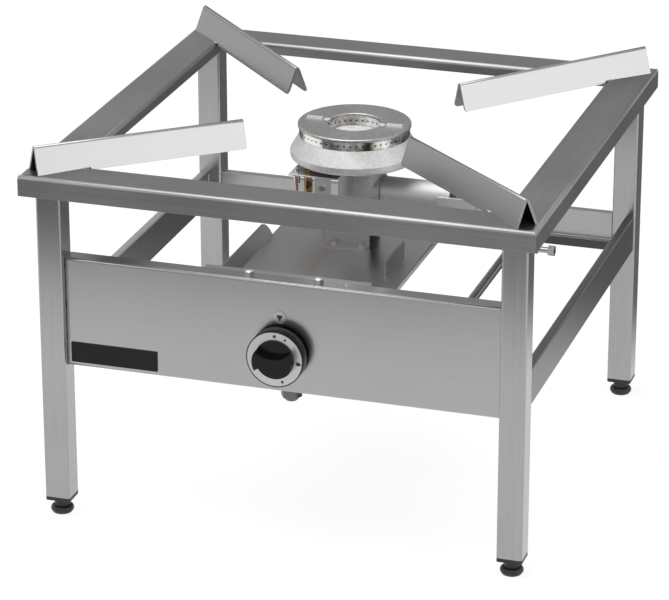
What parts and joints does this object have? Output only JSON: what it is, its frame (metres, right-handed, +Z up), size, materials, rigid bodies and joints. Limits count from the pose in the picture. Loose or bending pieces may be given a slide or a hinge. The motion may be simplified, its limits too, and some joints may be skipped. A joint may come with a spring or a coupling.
{
  "type": "stock pot range",
  "caption": "Square free-standing gas stool for large pots, with a folded steel top frame, leaning pot supports, a lift-off ring burner, a tap knob and screw feet.",
  "frame": {"origin": "on the floor, under the middle of the overall box", "axes": "+X to the right seen from the knob, +Y away from the knob, +Z up"},
  "size_m": [0.6, 0.6046, 0.456],
  "materials": {
    "frame_steel": "brushed",
    "support_steel": "satin sheet",
    "sheet_steel": "fine brushed",
    "machined_steel": "turned",
    "polished_steel": "polished",
    "cast_aluminium": "sand cast",
    "dial_aluminium": "satin",
    "black_plastic": "moulded",
    "dark_steel": "blackened",
    "brass": "machined",
    "copper": "drawn tube"
  },
  "bodies": {
    "stand": {"top_frame_front": "frame_steel", "top_frame_back": "frame_steel", "top_frame_left": "frame_steel", "top_frame_right": "frame_steel", "leg_front_left": "frame_steel", "leg_front_right": "frame_steel", "leg_back_left": "frame_steel", "leg_back_right": "frame_steel", "foot_cap_front_left": "black_plastic", "foot_cap_front_right": "black_plastic", "foot_cap_back_left": "black_plastic", "foot_cap_back_right": "black_plastic", "rail_left": "frame_steel", "rail_right": "frame_steel", "rail_back": "frame_steel", "control_panel": "sheet_steel", "burner_carrier": "sheet_steel", "carrier_bolts": "sheet_steel", "carrier_nuts": "sheet_steel", "pot_support_front_left": "support_steel", "pot_support_front_right": "support_steel", "pot_support_back_left": "support_steel", "pot_support_back_right": "support_steel", "burner_body": "cast_aluminium", "burner_stand": "sheet_steel", "stand_screws": "sheet_steel", "injector_yoke": "sheet_steel", "injector": "brass", "pilot_bracket": "dark_steel", "pilot_burner": "brass", "pilot_pipe": "copper", "thermocouple": "copper", "thermocouple_lead": "copper", "gas_tap_body": "brass", "magnet_unit": "dark_steel", "index_disc": "dial_aluminium", "feed_pipe": "sheet_steel", "feed_pipe_nuts": "brass", "supply_pipe": "sheet_steel", "supply_pipe_nut": "brass", "inlet_stub": "dark_steel", "inlet_nut": "frame_steel"},
    "crown": {"burner_crown": "machined_steel", "port_ring": "polished_steel", "inner_port_ring": "polished_steel"},
    "push_rod": {"tap_plunger": "dark_steel"},
    "turning_knob": {"tap_spindle": "dark_steel", "knob": "black_plastic", "dial_ring": "dial_aluminium"},
    "shutter": {"air_shutter": "sheet_steel"},
    "foot_front_left": {"foot_pad_front_left": "black_plastic", "foot_stem_front_left": "dark_steel"},
    "foot_front_right": {"foot_pad_front_right": "black_plastic", "foot_stem_front_right": "dark_steel"},
    "foot_back_left": {"foot_pad_back_left": "black_plastic", "foot_stem_back_left": "dark_steel"},
    "foot_back_right": {"foot_pad_back_right": "black_plastic", "foot_stem_back_right": "dark_steel"}
  },
  "joints": [
    {"name": "crown_lift", "type": "slide", "parent": "stand", "child": "crown", "axis": [0, 0, 1], "range_m": [0, 0.06]},
    {"name": "knob_push", "type": "slide", "parent": "stand", "child": "push_rod", "axis": [0, 1, 0], "range_m": [0, 0.004], "stiffness_N_per_m": 1500, "springref_m": -0.004},
    {"name": "knob_turn", "type": "hinge", "parent": "push_rod", "child": "turning_knob", "pos_m": [0, -0.2697, 0.236], "axis": [0, -1, 0], "range_deg": [0, 160]},
    {"name": "air_shutter_set", "type": "slide", "parent": "stand", "child": "shutter", "axis": [1, 0, 0], "range_m": [0, 0.008]},
    {"name": "foot_height_front_left", "type": "slide", "parent": "stand", "child": "foot_front_left", "axis": [0, 0, -1], "range_m": [0, 0.015]},
    {"name": "foot_height_front_right", "type": "slide", "parent": "stand", "child": "foot_front_right", "axis": [0, 0, -1], "range_m": [0, 0.015]},
    {"name": "foot_height_back_left", "type": "slide", "parent": "stand", "child": "foot_back_left", "axis": [0, 0, -1], "range_m": [0, 0.015]},
    {"name": "foot_height_back_right", "type": "slide", "parent": "stand", "child": "foot_back_right", "axis": [0, 0, -1], "range_m": [0, 0.015]}
  ]
}
